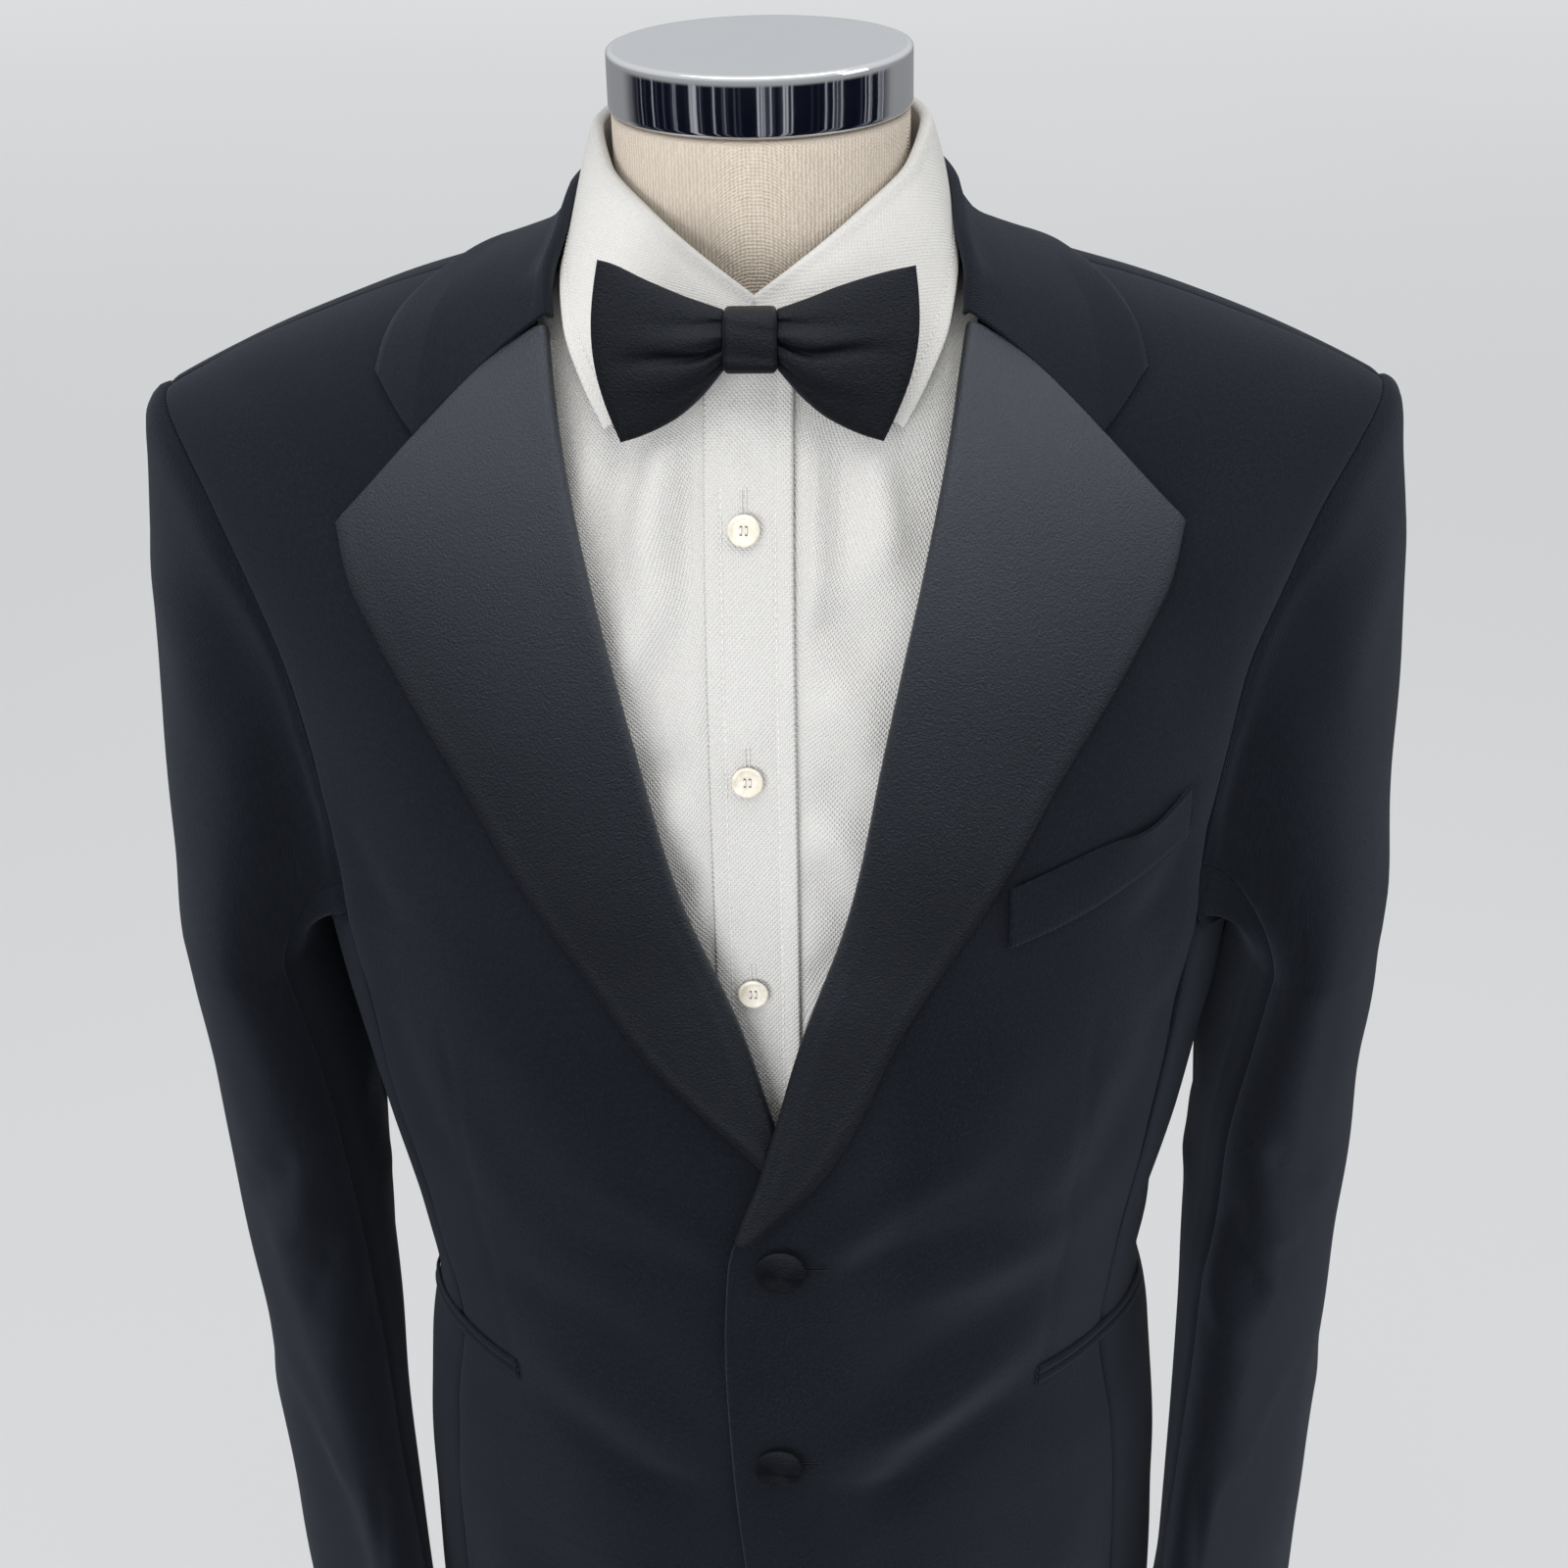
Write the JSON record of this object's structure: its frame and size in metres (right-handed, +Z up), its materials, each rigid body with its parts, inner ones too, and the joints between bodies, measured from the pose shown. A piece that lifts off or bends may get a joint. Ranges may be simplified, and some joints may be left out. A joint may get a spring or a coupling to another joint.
{
  "type": "tuxedo on a dress form",
  "caption": "single-breasted dinner jacket with peaked satin lapels, white shirt and ready-tied bow tie, worn by a limbless dress form on a pole with a round foot",
  "frame": {"origin": "on the floor, at the middle of the foot's flat underside, straight below the middle of the neck cap", "axes": "+Z is up, the jacket's front faces -Y, +X is the wearer's left"},
  "size_m": [0.5143, 0.38, 1.43],
  "materials": {
    "wool": "matt worsted",
    "satin": "satin",
    "cotton": "textured cotton",
    "pearl": "pearl",
    "canvas": "linen canvas",
    "chrome": "polished"
  },
  "bodies": {
    "root": {"jacket_front_left": "wool", "jacket_front_right": "wool", "jacket_side_left": "wool", "jacket_side_right": "wool", "jacket_back_left": "wool", "jacket_back_right": "wool", "jacket_sleeve_top_left": "wool", "jacket_sleeve_top_right": "wool", "jacket_sleeve_under_left": "wool", "jacket_sleeve_under_right": "wool", "jacket_collar": "wool", "chest_welt": "wool", "hip_jet_upper_left": "wool", "hip_jet_lower_left": "wool", "hip_jet_upper_right": "wool", "hip_jet_lower_right": "wool", "jacket_lapel_left": "satin", "jacket_lapel_right": "satin", "bow_wing_left": "satin", "bow_wing_right": "satin", "bow_knot": "satin", "bow_neckband": "satin", "jacket_button_1": "satin", "jacket_button_2": "satin", "shirt_front_left": "cotton", "shirt_front_right": "cotton", "shirt_placket": "cotton", "shirt_back": "cotton", "shirt_yoke": "cotton", "shirt_collar_stand": "cotton", "shirt_collar_leaf": "cotton", "shirt_button_1": "pearl", "shirt_button_2": "pearl", "shirt_button_3": "pearl", "form_torso": "canvas", "form_neck_cap": "chrome", "stand_pole": "chrome", "stand_foot": "chrome"}
  },
  "joints": []
}
